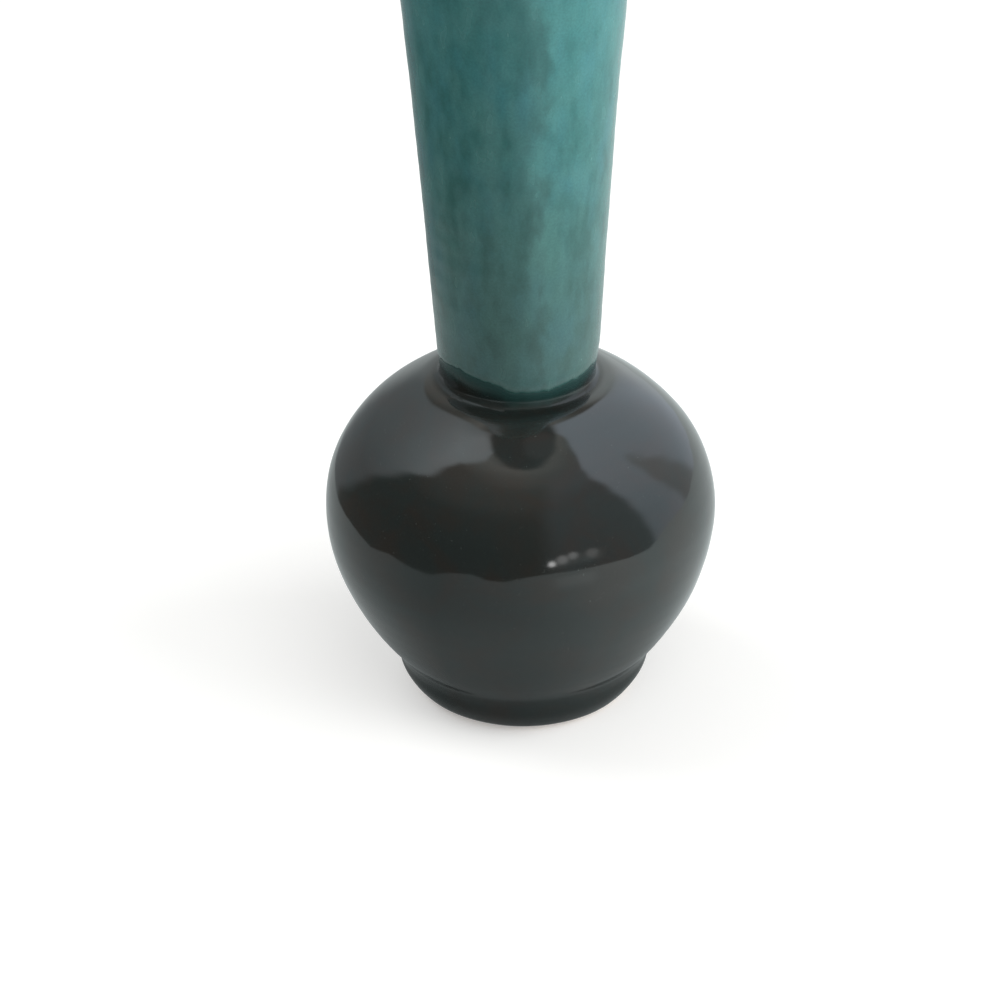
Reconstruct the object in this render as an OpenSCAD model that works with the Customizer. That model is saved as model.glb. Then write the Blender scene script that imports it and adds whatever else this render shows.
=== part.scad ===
// Bud vase in two glazes: a thrown globe, a thrown neck and a turned foot ring,
// luted together with slip and coated in glaze. Millimetres, +Z up,
// origin at the centre of the face that it stands on.
// Widths and heights of the outside are those of the finished, glazed vase.

/* [Body] */
// Greatest width of the globe
body_w = 96; // [92:0.5:102]
// Height of the globe's widest level
belly_z = 49.3; // [47:0.1:52]
// Rise from the widest level to the collar
shoulder_rise = 35.5; // [34.5:0.1:37.5]
// Slope of the shoulder at the collar, in degrees
shoulder_slope = 12; // [11:0.1:16]
// How far the side keeps upright above the widest level
belly_up = 22.5; // [21.5:0.1:24]
// How far the shoulder keeps straight below the collar
shoulder_run = 6.5; // [6.5:0.1:9]
// How far the side keeps upright below the widest level
belly_down = 14; // [12:0.1:16]
// Height of the waist over the foot
waist_z = 10.3; // [9.5:0.1:11.5]
// Width at the waist
waist_w = 62; // [60:0.5:64]
// Slope of the globe at the waist, in degrees
waist_slope = 47.6; // [44:0.1:52]
// How far the globe keeps straight above the waist
waist_run = 12.7; // [10:0.1:15]
// Clay wall of the globe
body_wall = 5; // [4:0.1:6]
// Clay of the floor at its centre
floor_t = 6.3; // [5:0.1:8]
// How far the floor keeps level inside
floor_run = 33; // [29:0.5:35]
// How far the inner side keeps upright below the widest level
inner_down = 23; // [20:0.5:26]

/* [Neck] */
// Height of the vase
height = 203; // [190:1:215]
// Width of the neck at its base
neck_w = 37.8; // [36:0.1:40]
// Lean of the neck at its base, in degrees
neck_lean = 3.6; // [2:0.1:5]
// Drop from the lip to the level where the mouth starts to open
mouth_drop = 27; // [24:0.5:32]
// Width where the mouth starts to open
throat_w = 49.6; // [47:0.1:52]
// Lean of the neck where the mouth starts to open, in degrees
throat_lean = 4.9; // [3:0.1:7]
// Width of the mouth over its lip
mouth_w = 60; // [57:0.5:66]
// Lean of the lip, in degrees
lip_lean = 20; // [12:0.5:28]
// How far the mouth keeps straight at each end
mouth_run = 8.5; // [6:0.1:10]
// Clay wall of the neck at its base
neck_wall = 4.2; // [3.6:0.1:4.8]
// Clay wall at the lip
lip_wall = 3.2; // [2.6:0.1:4]

/* [Foot] */
// Greatest width of the foot ring
foot_w = 64.7; // [63.6:0.1:67]
// Height of the foot ring's widest level
foot_z = 8.8; // [8:0.1:9.2]
// How far the ring's side keeps upright below its widest level
foot_down = 2; // [1:0.1:3]
// Width of the face it stands on
stand_w = 50.6; // [48:0.1:54]
// How far the ring's underside keeps level outside that face
stand_run = 3.1; // [1.5:0.1:4.5]
// Width of the recess at the table
recess_w = 42; // [40:0.1:44]

/* [Joints] */
// Thickness of the slip between two pieces
lute_t = 0.4; // [0.3:0.05:0.6]
// Clay wall of the neck's spigot
spigot_wall = 2.2; // [1.8:0.1:2.6]
// Run of the slip fillet out onto the shoulder
fillet_run = 1.5; // [1.2:0.05:2.2]
// Rise of the slip fillet up the neck
fillet_rise = 1.05; // [0.8:0.05:1.6]
// How far the fillet keeps upright where it meets the neck
fillet_pull = 0.5; // [0.3:0.05:0.7]
// Width of the boss that centres the foot ring
boss_w = 44; // [42:0.5:46]
// Drop of that boss below the globe's seat
boss_drop = 4.5; // [3.5:0.1:5.5]

/* [Glaze] */
// Thickness of the glaze
glaze_t = 0.4; // [0.3:0.05:0.6]
// Mean height of the dark band on the neck
band_h = 4; // [3.4:0.1:5]
// Slow wave of the glaze line
band_wave = 1.4; // [0:0.1:1.6]
// Quick wave of the glaze line
band_ripple = 1.1; // [0:0.1:1.2]

/* [Tool marks] */
// Depth of the throwing rings inside the globe
throw_depth = 0.3; // [0:0.05:0.5]
// Depth of the turning rings under the foot
turn_depth = 0.25; // [0:0.05:0.4]

/* [Hidden] */
$fn = 144;
clay_colour = "#b9a68c";
slip_colour = "#a3907a";
dark_colour = "#343a39";
teal_colour = "#47807e";
liner_colour = "#2f4544";

// Counts of straight steps along each curve
side_steps = 14;
shoulder_steps = 16;
fillet_steps = 5;
neck_steps = 10;
mouth_steps = 7;
lip_steps = 10;
foot_steps = 7;
groove_steps = 3;
line_steps = 24;
throw_rings = 5;
turn_rings = 5;
ring_steps = 4;
// Share of the foot's curve that is left bare, from the table up
bare_share = 0.3;
bare_steps = 3;
// Angles of the glaze line's two waves at the neck's edge
wave_turn = 110;
ripple_turn = 210;
// Slope of the foot ring's top edge where it meets the waist
groove_slope = 50;

body_r = body_w / 2;
waist_r = waist_w / 2;
neck_r = neck_w / 2;
throat_r = throat_w / 2;
foot_r = foot_w / 2;
stand_r = stand_w / 2;
recess_r = recess_w / 2;
boss_r = boss_w / 2;
throat_z = height - mouth_drop;

// Unit vectors in the plane of a profile, x outward and y up
function along(a) = [cos(a), sin(a)];
function side(v) = [v.y, -v.x] / norm(v);

// A cubic curve through its first and last control points, and its direction
function curve(p, t) = pow(1 - t, 3) * p[0] + 3 * pow(1 - t, 2) * t * p[1]
  + 3 * (1 - t) * t * t * p[2] + pow(t, 3) * p[3];
function heading(p, t) = pow(1 - t, 2) * (p[1] - p[0])
  + 2 * (1 - t) * t * (p[2] - p[1]) + t * t * (p[3] - p[2]);

// The curve's points from t0 to t1, moved in by the depths d0 and d1 at its ends
function inset(p, d0, d1, n, t0 = 0, t1 = 1) = [for (i = [0:n])
  let (t = t0 + (t1 - t0) * i / n)
  curve(p, t) - (d0 + (d1 - d0) * t) * side(heading(p, t))];

// The same with rings pressed into it, k of them over its length
function ringed(p, d, k) = [for (i = [0:k * ring_steps])
  let (t = i / (k * ring_steps), ring = throw_depth * (1 - cos(360 * k * t)) / 2)
  curve(p, t) - (d - ring) * side(heading(p, t))];

function backwards(a) = [for (i = [len(a) - 1:-1:0]) a[i]];
function without_first(a) = [for (i = [1:len(a) - 1]) a[i]];
function without_last(a) = [for (i = [0:len(a) - 2]) a[i]];

// Curves of the finished outside, each drawn upward
waist = [waist_r, waist_z];
widest = [body_r, belly_z];
collar = [neck_r + fillet_run, belly_z + shoulder_rise];
neck_foot = [neck_r, collar.y + fillet_run * tan(shoulder_slope) + fillet_rise];
throat = [throat_r, throat_z];
neck_third = (throat_z - neck_foot.y) / 3;

stand_curve = [
  [stand_r, -glaze_t],
  [stand_r + stand_run, -glaze_t],
  [foot_r, foot_z - foot_down],
  [foot_r, foot_z]];
groove_edge = waist - [0, lute_t];
groove_pull = (groove_edge.y - foot_z) / 2;
groove_curve = [
  [foot_r, foot_z],
  [foot_r, foot_z + groove_pull],
  groove_edge + (foot_r - waist_r) / 2 * along(-groove_slope),
  groove_edge];
side_curve = [
  waist,
  waist + waist_run * along(waist_slope),
  widest - [0, belly_down],
  widest];
shoulder_curve = [
  widest,
  widest + [0, belly_up],
  collar + shoulder_run * along(-shoulder_slope),
  collar];
fillet_curve = [
  collar,
  collar + fillet_run / 2 * along(180 - shoulder_slope),
  neck_foot - [0, fillet_pull],
  neck_foot];
neck_curve = [
  neck_foot,
  neck_foot + neck_third * [tan(neck_lean), 1],
  throat - neck_third * [tan(throat_lean), 1],
  throat];

// The lip is a half round on the end of the mouth's wall
lip_round = lip_wall / 2 + glaze_t;
lip_centre = [mouth_w / 2 - lip_round, height - lip_round];
lip_edge = lip_centre + lip_round * along(-lip_lean);
mouth_curve = [
  throat,
  throat + mouth_run * along(90 - throat_lean),
  lip_edge - mouth_run * along(90 - lip_lean),
  lip_edge];
function lip(r) = [for (i = [1:lip_steps - 1])
  lip_centre + r * along(180 * i / lip_steps - lip_lean)];

// Seats: the neck's ledge on the globe, and the globe on the foot ring
clay_waist_r = waist_r - glaze_t;
clay_neck_r = neck_r - glaze_t;
bore_r = clay_neck_r - neck_wall;
spigot_r = bore_r + spigot_wall;
socket_r = spigot_r + lute_t;
collar_clay = collar - glaze_t * along(90 - shoulder_slope);
seat_z = collar_clay.y;
ledge_z = seat_z + lute_t;
base_z = waist_z;
ring_top_z = base_z - lute_t;
boss_z = base_z - boss_drop;

// The inside: a bowl up to the widest level, then the shoulder's own curve
floor_top = boss_z + floor_t;
inner_r = body_r - glaze_t - body_wall;
bowl_curve = [
  [0, floor_top],
  [floor_run, floor_top],
  [inner_r, belly_z - inner_down],
  [inner_r, belly_z]];
function under_collar(d) = let (p = collar - d * along(90 - shoulder_slope))
  [socket_r, p.y + (p.x - socket_r) * tan(shoulder_slope)];
shoulder_depth = glaze_t + body_wall;
spigot_end_z = under_collar(shoulder_depth).y;
function inside(d) = concat(
  ringed(bowl_curve, d, throw_rings),
  without_first(ringed(shoulder_curve, shoulder_depth + d, throw_rings)),
  [under_collar(shoulder_depth + d)]);

// The neck's inner wall, whose clay thins from neck_wall to lip_wall
mouth_share = mouth_drop / (height - neck_foot.y);
throat_wall = lip_wall + (neck_wall - lip_wall) * mouth_share;
function neck_bore(d) = inset(neck_curve, glaze_t + neck_wall + d, glaze_t + throat_wall + d, neck_steps);
function mouth_bore(d) = inset(mouth_curve, glaze_t + throat_wall + d, glaze_t + lip_wall + d, mouth_steps);

// The outside from the foot's glaze edge to the lip, at a depth under the finished skin
function foot_side(d) = concat(
  inset(stand_curve, d, d, foot_steps, bare_share, 1),
  without_first(inset(groove_curve, d, d, groove_steps)));
function globe_side(d) = concat(
  inset(side_curve, d, d, side_steps),
  without_first(inset(shoulder_curve, d, d, shoulder_steps)));
function fillet_side(d) = inset(fillet_curve, d, d, fillet_steps);
function neck_side(d) = concat(
  inset(neck_curve, d, d, neck_steps),
  without_first(inset(mouth_curve, d, d, mouth_steps)));

module turned(points) {
  rotate_extrude() polygon(points);
}

// The globe, with its floor, a flat seat for the neck and a boss for the foot ring
module body() {
  boss_marks = [for (i = [0:turn_rings * ring_steps])
    [boss_r * i / (turn_rings * ring_steps),
     boss_z + turn_depth * (1 - cos(360 * i / ring_steps)) / 2]];
  color(clay_colour) turned(concat(
    boss_marks,
    [[boss_r, base_z], [clay_waist_r, base_z]],
    without_first(globe_side(glaze_t)),
    [[socket_r, seat_z]],
    backwards(inside(0))));
}

// The neck, from its spigot in the globe's socket to the rounded lip
module neck() {
  color(clay_colour) turned(concat(
    [[bore_r, spigot_end_z], [spigot_r, spigot_end_z], [spigot_r, ledge_z], [clay_neck_r, ledge_z]],
    neck_side(glaze_t),
    lip(lip_wall / 2),
    backwards(mouth_bore(0)),
    without_first(backwards(neck_bore(0)))));
}

// The foot ring, turned round outside, with a bare flat face to stand on
module foot_ring() {
  color(clay_colour) turned(concat(
    [[boss_r + lute_t, ring_top_z], [boss_r + lute_t, boss_z], [recess_r, 0]],
    without_last(inset(stand_curve, glaze_t, glaze_t, bare_steps, 0, bare_share)),
    foot_side(glaze_t),
    [[clay_waist_r, ring_top_z]]));
}

// Slip under the neck's ledge and round its spigot, wiped to a fillet outside
module neck_lute() {
  color(slip_colour) turned(concat(
    [[spigot_r, spigot_end_z], [socket_r, spigot_end_z], [socket_r, seat_z]],
    fillet_side(glaze_t),
    [[clay_neck_r, ledge_z], [spigot_r, ledge_z]]));
}

// Slip between the foot ring and the globe's seat and boss
module foot_lute() {
  color(slip_colour) turned([
    [boss_r, boss_z], [boss_r + lute_t, boss_z], [boss_r + lute_t, ring_top_z],
    [clay_waist_r, ring_top_z], [clay_waist_r, base_z], [boss_r, base_z]]);
}

// The whole outer coat of glaze, from the foot over the lip to the throat
module coat() {
  turned(concat(
    foot_side(0), globe_side(0), without_first(fillet_side(0)), without_first(neck_side(0)),
    lip(lip_round),
    backwards(mouth_bore(glaze_t)),
    mouth_bore(0),
    backwards(lip(lip_wall / 2)),
    backwards(neck_side(glaze_t)), without_first(backwards(fillet_side(glaze_t))),
    without_first(without_last(backwards(globe_side(glaze_t)))),
    [[clay_waist_r, base_z], [clay_waist_r, ring_top_z]],
    backwards(foot_side(glaze_t))));
}

// Height of the uneven line where the two glazes meet, at the share s across the neck
function line_z(s) = neck_foot.y + band_h
  - band_wave * sin(wave_turn * s) - band_ripple * cos(ripple_turn * s);

// Everything above that line
module above_line() {
  line_points = [for (i = [0:line_steps])
    let (s = 2 * i / line_steps - 1)
    [neck_r * s, line_z(s)]];
  rotate([90, 0, 0])
    linear_extrude(height = 2 * mouth_w, center = true)
      polygon(concat(
        [[-mouth_w, line_z(-1)]], line_points,
        [[mouth_w, line_z(1)], [mouth_w, 2 * height], [-mouth_w, 2 * height]]));
}

// Dark glaze on the foot, the globe and the base of the neck
module body_glaze() {
  color(dark_colour) difference() {
    coat();
    above_line();
  }
}

// Teal glaze on the neck, over the lip and down to the throat
module neck_glaze() {
  color(teal_colour) intersection() {
    coat();
    above_line();
  }
}

// Glaze poured round the inside, from the throat to the floor
module liner_glaze() {
  color(liner_colour) turned(concat(
    inside(glaze_t),
    [[bore_r - glaze_t, spigot_end_z - glaze_t]],
    neck_bore(glaze_t),
    backwards(neck_bore(0)),
    [[bore_r, spigot_end_z]],
    backwards(inside(0))));
}

body();
neck();
foot_ring();
neck_lute();
foot_lute();
body_glaze();
neck_glaze();
liner_glaze();
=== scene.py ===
import functools
import math

import bpy
import numpy as np
from mathutils import Matrix, Vector


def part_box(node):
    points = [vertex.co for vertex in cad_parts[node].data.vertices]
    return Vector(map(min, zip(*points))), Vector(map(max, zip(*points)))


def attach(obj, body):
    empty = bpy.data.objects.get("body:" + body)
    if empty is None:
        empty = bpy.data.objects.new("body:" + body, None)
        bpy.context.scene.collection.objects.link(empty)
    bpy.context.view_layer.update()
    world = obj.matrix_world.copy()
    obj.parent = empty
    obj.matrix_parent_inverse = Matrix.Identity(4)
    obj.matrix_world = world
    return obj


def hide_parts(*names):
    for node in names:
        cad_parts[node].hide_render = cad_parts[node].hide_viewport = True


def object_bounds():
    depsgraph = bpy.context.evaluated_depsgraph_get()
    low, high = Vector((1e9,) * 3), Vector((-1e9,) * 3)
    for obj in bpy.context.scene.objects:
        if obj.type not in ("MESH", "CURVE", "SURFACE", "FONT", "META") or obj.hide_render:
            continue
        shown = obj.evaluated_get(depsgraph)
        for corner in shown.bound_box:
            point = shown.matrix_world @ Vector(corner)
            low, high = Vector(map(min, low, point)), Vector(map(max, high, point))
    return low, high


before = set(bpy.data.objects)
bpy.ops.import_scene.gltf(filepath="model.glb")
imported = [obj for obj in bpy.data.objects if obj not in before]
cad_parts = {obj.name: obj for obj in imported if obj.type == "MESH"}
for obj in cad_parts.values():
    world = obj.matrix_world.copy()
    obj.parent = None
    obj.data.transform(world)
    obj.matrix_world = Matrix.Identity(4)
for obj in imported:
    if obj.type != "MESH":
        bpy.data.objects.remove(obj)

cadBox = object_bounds()
scene = bpy.context.scene
mm = 0.001
print("frame loaded with", len(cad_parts), "nodes")


# How far a node reaches sideways and up, in mm
def reach(node):
    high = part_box(node)[1]
    return high.y / mm, high.z / mm


# Levels and radii that the construction already fixes, in mm
globeRadius, rimHeight = cadBox[1].y / mm, cadBox[1].z / mm
mouthRadius = reach("neck_glaze")[0]
clayWaistRadius, waistHeight = reach("foot_lute")
neckFootHeight = reach("neck_lute")[1]
glazeThickness = globeRadius - reach("body")[0]

# The turned form, in mm and degrees: slopes, runs and rises of its curves
form = {
    "bellyHeight": 49.3, "bellyUp": 22.5, "bellyDown": 14, "shoulderSlope": 12, "shoulderRun": 6.5,
    "waistSlope": 47.6, "waistRun": 12.7, "grooveSlope": 50,
    "neckRadius": 18.9, "neckLean": 3.6, "throatRadius": 24.8, "throatDrop": 27, "throatLean": 4.9,
    "filletRun": 1.5, "filletRise": 1.05, "filletPull": 0.9, "filletShare": 0.85,
    "lipLean": 20, "lipSteps": 40, "mouthRun": 8.5,
    "lipWall": 3.2, "neckWall": 4.2, "spigotWall": 2.2, "bodyWall": 5,
    "footRadius": 32.35, "footHeight": 8.8, "footDown": 2, "standRadius": 25.3, "standRun": 3.1,
    "bareShare": 0.3,  # share of the foot's side, from the table up, that stays bare clay
    "recessRadius": 21, "bossRadius": 22, "bossDrop": 4.5, "slipThickness": 0.4,
    "floorThickness": 6.3, "floorRun": 33, "innerDown": 23,
    "soften": 0.4,  # how far the glaze rounds every corner over
    "grooveSoften": 3.3, "grooveReach": 3.5,  # how far where it pooled in the groove
    # how little in the crease round the neck's foot
    "crease": 0.24, "creaseDrop": 0.8, "creaseReach": 1.5, "creaseRadius": 23,
    # the neck's root is wiped in a little, up under its dark band and down to the crease
    "undercut": 0.4, "undercutRise": 6.5, "undercutLift": 0.6, "undercutFall": 3, "undercutRadius": 24,
    "swell": 0.28, "swellFrom": 20, "swellRadius": 23.5, "swellTo": 32,  # a low ring swell on the shoulder
    "step": 0.2,  # spacing of the points along a profile
}


# Unit vector at each angle in the plane of a profile, radius first: its cosine and its sine
def along(degrees):
    return np.stack([np.cos(np.radians(degrees)), np.sin(np.radians(degrees))], -1)


# Unit vector toward a turn, 0 to the camera and plus to its right, and a rise: the sine of the rise is its
# upright part, and the turn's sine and cosine share out the level part, the cosine of the rise
def toward(turn, rise):
    turn, rise = np.radians(turn), np.radians(rise)
    return np.stack([np.sin(turn) * np.cos(rise), -np.cos(turn) * np.cos(rise), np.sin(rise)], -1)


# Cubic curve: four points weighted by (1-t)^3, 3(1-t)^2 t, 3(1-t)t^2 and t^3
def curve(points, start=0.0, end=1.0, steps=80):
    t = np.linspace(start, end, steps)[:, None]
    a, b, c, d = (np.array(p, float) for p in points)
    return (1 - t) ** 3 * a + 3 * (1 - t) ** 2 * t * b + 3 * (1 - t) * t * t * c + t ** 3 * d


# Distance run along a profile up to each of its points
def runOf(profile):
    return np.concatenate([[0], np.cumsum(np.hypot(*np.diff(profile, axis=0).T))])


# Profiles end to end, cut again into equal steps
def evenly(*parts, step=form["step"]):
    profile = np.concatenate(parts)
    run = runOf(profile)
    keep = np.concatenate([[True], np.diff(run) > 1e-6])
    profile, run = profile[keep], run[keep]
    even = np.linspace(0, run[-1], max(2, int(round(run[-1] / step)) + 1))
    return np.stack([np.interp(even, run, profile[:, k]) for k in (0, 1)], 1)


# Bell: e to the power of minus the value's square
def bell(value):
    return np.exp(-value ** 2)


# Weights of a running mean: e to the power of minus half the square of steps over width, over their sum
def bellWeights(half, width):
    weights = np.exp(-0.5 * (np.arange(-half, half + 1) / width) ** 2)
    return weights / weights.sum()


# Each point becomes the weighted mean of its neighbours along the run; both ends are mirrored through
def softened(profile, width):
    half = int(3 * width / form["step"]) + 1
    weights = bellWeights(half, width / form["step"])
    before = 2 * profile[0] - profile[half:0:-1]
    after = 2 * profile[-1] - profile[-2:-half - 2:-1]
    padded = np.concatenate([before, profile, after])
    return np.stack([np.convolve(padded[:, k], weights, "valid") for k in (0, 1)], 1)


# Outward normals: the heading turned a quarter to the right
def normalsOf(profile):
    heading = np.gradient(profile, axis=0)
    heading /= np.hypot(*heading.T)[:, None]
    return np.stack([heading[:, 1], -heading[:, 0]], 1)


# The profile moved in by a depth, which may differ from point to point
def inset(profile, depth):
    return profile - np.broadcast_to(depth, len(profile))[:, None] * normalsOf(profile)


# Smooth step from 0 to 1 as its value goes from -1 to 1: three squares less two cubes of the share
def soft(value):
    share = np.clip(value / 2 + 0.5, 0, 1)
    return share * share * (3 - 2 * share)


# The drawn outside: the four points of each curve from the foot up, and the lip's centre and radius
def outsideCurves():
    f = form
    widest = np.array([globeRadius, f["bellyHeight"]])
    waist = np.array([clayWaistRadius + glazeThickness, waistHeight])
    foot = np.array([f["footRadius"], f["footHeight"]])
    neckFoot = np.array([f["neckRadius"], neckFootHeight])
    drop = f["filletRise"] + f["filletRun"] * math.tan(math.radians(f["shoulderSlope"]))
    collar = neckFoot + [f["filletRun"], -drop]
    throat = np.array([f["throatRadius"], rimHeight - f["throatDrop"]])
    third = (throat[1] - neckFoot[1]) / 3
    lean = [np.array([math.tan(math.radians(f[key])), 1]) for key in ("neckLean", "throatLean")]
    groove = waist - [0, f["slipThickness"]]
    lipRadius = f["lipWall"] / 2 + glazeThickness
    lipCentre = np.array([mouthRadius - lipRadius, rimHeight - lipRadius])
    lipEdge = lipCentre + lipRadius * along(-f["lipLean"])
    return {
        "stand": [[f["standRadius"], -glazeThickness], [f["standRadius"] + f["standRun"], -glazeThickness],
                  foot - [0, f["footDown"]], foot],
        "groove": [foot, foot + [0, (groove[1] - foot[1]) / 2],
                   groove + (foot[0] - waist[0]) / 2 * along(-f["grooveSlope"]), groove],
        "side": [waist, waist + f["waistRun"] * along(f["waistSlope"]),
                 widest - [0, f["bellyDown"]], widest],
        "shoulder": [widest, widest + [0, f["bellyUp"]],
                     collar + f["shoulderRun"] * along(-f["shoulderSlope"]), collar],
        "fillet": [collar, collar + f["filletShare"] * f["filletRun"] * along(180 - f["shoulderSlope"]),
                   neckFoot - [0, f["filletPull"]], neckFoot],
        "neck": [neckFoot, neckFoot + third * lean[0], throat - third * lean[1], throat],
        "mouth": [throat, throat + f["mouthRun"] * along(90 - f["throatLean"]),
                  lipEdge - f["mouthRun"] * along(90 - f["lipLean"]), lipEdge],
        "lip": (lipCentre, lipRadius),
    }


outside = outsideCurves()
bossHeight = waistHeight - form["bossDrop"]


# The neck's inner wall: the outer curve moved in by glaze and clay, whose thickness falls evenly to the lip
def boreProfile(depth):
    f = form
    low, high = (curve(outside[key]) for key in ("neck", "mouth"))
    rise = (low[-1, 1] - low[0, 1]) / (rimHeight - low[0, 1])
    throatWall = f["neckWall"] + (f["lipWall"] - f["neckWall"]) * rise
    walls = (low, f["neckWall"], throatWall), (high, throatWall, f["lipWall"])
    return [inset(part, glazeThickness + depth + np.linspace(start, end, len(part)))
            for part, start, end in walls]


# The whole coat as one profile: foot, groove, globe, fillet, neck, mouth, over the lip and in to the throat
def coatProfile():
    f = form
    lipCentre, lipRadius = outside["lip"]
    sides = [curve(outside[key]) for key in ("groove", "side", "shoulder", "fillet", "neck", "mouth")]
    over = lipCentre + lipRadius * along(np.linspace(-f["lipLean"], 180 - f["lipLean"], f["lipSteps"]))
    # the inner mouth is coated too, so its skin stands a glaze thickness off the clay
    inner = boreProfile(glazeThickness)[1][::-1]
    drawn = evenly(curve(outside["stand"], f["bareShare"]), *sides, over, inner)
    profile = softened(drawn, f["soften"])
    pooled = bell((profile[:, 1:] - waistHeight) / f["grooveReach"])
    profile += (softened(drawn, f["grooveSoften"]) - profile) * pooled
    crisp = bell((profile[:, 1:] - neckFootHeight + f["creaseDrop"]) / f["creaseReach"])
    crisp *= profile[:, :1] < f["creaseRadius"]
    profile += (softened(drawn, f["crease"]) - profile) * crisp
    # the undercut is deepest at the neck's foot, and runs out up the neck and down the fillet
    up = (profile[:, 1] - neckFootHeight - f["undercutLift"]) / f["undercutRise"]
    root = np.clip(np.where(up > 0, 1 - up, 1 + f["undercutFall"] * up), 0, 1)
    profile[:, 0] -= f["undercut"] * root * (profile[:, 0] < f["undercutRadius"])
    # the swell is highest at its radius and runs out on both sides
    inner = soft(2 * (profile[:, 0] - f["swellFrom"]) / (f["swellRadius"] - f["swellFrom"]) - 1)
    outer = soft(2 * (f["swellTo"] - profile[:, 0]) / (f["swellTo"] - f["swellRadius"]) - 1)
    onShoulder = (profile[:, 1] > f["bellyHeight"]) & (profile[:, 1] < neckFootHeight)
    profile[:, 1] += f["swell"] * inner * outer * onShoulder
    return softened(profile, f["crease"])


coat = coatProfile()
coatRun = runOf(coat)
coatNormal = normalsOf(coat)
rimAt = int(np.argmax(coat[:, 1]))


# Run along the coat at which its outer side reaches a height
def runAtHeight(height):
    return np.interp(height, np.maximum.accumulate(coat[:rimAt, 1]), coatRun[:rimAt])


# Points of the coat at each run and depth under the skin, as grids of radius and height
def coatPoints(run, depth):
    return [np.interp(run, coatRun, coat[:, k]) - depth * np.interp(run, coatRun, coatNormal[:, k])
            for k in (0, 1)]


# Even turns round the axis, 0 toward the camera and growing to its right
def turnsOf(columns):
    return np.arange(columns)[None, :] * 2 * np.pi / columns


# The same profile at every turn, as grids of radius and height
def turnedGrids(profile, turn):
    return [profile[:, k:k + 1] + 0 * turn for k in (0, 1)]


# Hand-made unevenness: a sum of long cosine waves round and along the piece, with seeded lengths and phases
def unevenness(turn, run, look):
    rng = np.random.default_rng(look["seed"])
    total = np.zeros(np.broadcast_shapes(turn.shape, run.shape))
    for _ in range(look["waves"]):
        timesRound = rng.integers(0, look["timesRound"] + 1)
        length = rng.uniform(*look["lengths"])
        total += np.cos(timesRound * turn + 2 * np.pi * run / length + rng.uniform(0, 2 * np.pi))
    return look["wave"] * total / math.sqrt(look["waves"])


# Depth of a coat's skin under the drawn form: slow waves and faint throwing rings, moved in round one run so
# that the vase keeps its width and height
def skinDepth(turn, run, look, fullRun):
    swirl = look["swirl"] * np.sin(run / look["swirlRun"])
    rings = look["rings"] * np.cos(2 * np.pi * run / look["ringSpacing"] + turn + swirl)
    spare = look["spare"] * bell((run - fullRun) / look["spareReach"])
    return spare + np.clip(unevenness(turn, run, look) + rings, -look["spare"], look["spare"])


# Depth of a quarter round along an edge: its radius less the height of the circle at each distance in
def edgeDepth(distance, radius):
    return radius * (1 - np.sqrt(1 - (1 - np.clip(distance / radius, 0, 1)) ** 2))


# How far each height is set aside along X, in mm: foot and neck are a little to the right of the shoulder
lean = {"heights": [0, 12, 30, 46, 52, 62, 74, 80, 84, 88, 96, 150, 203],
        "shifts": [0.36, 0.28, 0.12, 0, 0, -0.2, -0.42, -0.4, -0.28, -0.14, 0, 0, 0.2],
        "from": -30, "to": 240, "step": 0.5, "half": 18, "width": 6}


# The shift at each height: the smoothed line between the points above
def shiftAt(height):
    fine = np.arange(lean["from"], lean["to"], lean["step"])
    shifts = np.interp(fine, lean["heights"], lean["shifts"])
    return np.interp(height, fine, np.convolve(shifts, bellWeights(lean["half"], lean["width"]), "same"))


# Four corners of each cell of a grid, from the numbers that its rows and columns start and end with
def cells(row, rowEnd, column, columnEnd):
    return np.stack([row + column, row + columnEnd, rowEnd + columnEnd, rowEnd + column], -1).reshape(-1, 4)


def newObject(name, data):
    thing = bpy.data.objects.new(name, data)
    scene.collection.objects.link(thing)
    return thing


def newMesh(name, points, faces):
    mesh = bpy.data.meshes.new(name)
    mesh.from_pydata((points * mm).tolist(), [], faces)
    return newObject(name, mesh)


# A grid of radii and heights becomes a closed skin: columns join round the axis, rows join in a loop
# or end in one point on the axis at each end
def makePiece(name, radius, height, turn, looped):
    rows, columns = radius.shape
    points = np.stack([radius * np.sin(turn) + shiftAt(height), -radius * np.cos(turn), height], -1)
    column = np.arange(columns)
    nextColumn = (column + 1) % columns
    row = np.arange(rows if looped else rows - 1)[:, None]
    quads = cells(row * columns, (row + 1) % rows * columns, column, nextColumn)
    vertices = points.reshape(-1, 3)
    faces = quads.tolist()
    if not looped:
        # the first and last rows shrink to their poles, so their quads become triangles round one vertex
        vertices = np.concatenate([points[0, :1], points[1:-1].reshape(-1, 3), points[-1, :1]])
        tip = len(vertices) - 1
        last = tip - columns
        faces = (quads[columns:-columns] - columns + 1).tolist()
        faces += np.stack([np.zeros(columns, int), 1 + nextColumn, 1 + column], -1).tolist()
        faces += np.stack([last + column, last + nextColumn, np.full(columns, tip)], -1).tolist()
    piece = newMesh(name, vertices, faces)
    corners = np.array([face[:3] for face in faces])
    a, b, c = (vertices[corners[:, k]] for k in range(3))
    if np.einsum("ij,ij->i", a, np.cross(b, c)).sum() < 0:
        piece.data.flip_normals()
    piece.data.polygons.foreach_set("use_smooth", np.ones(len(faces), bool))
    return piece


# A value or a colour at each vertex, for the material to read
def keepValue(piece, name, values, kind="FLOAT", field="value"):
    layer = piece.data.attributes.new(name, kind, "POINT")
    layer.data.foreach_set(field, np.asarray(values, np.float32).ravel())


def dress(piece, node, material):
    piece.data.materials.append(material)
    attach(piece, "root")
    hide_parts(node)


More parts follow.
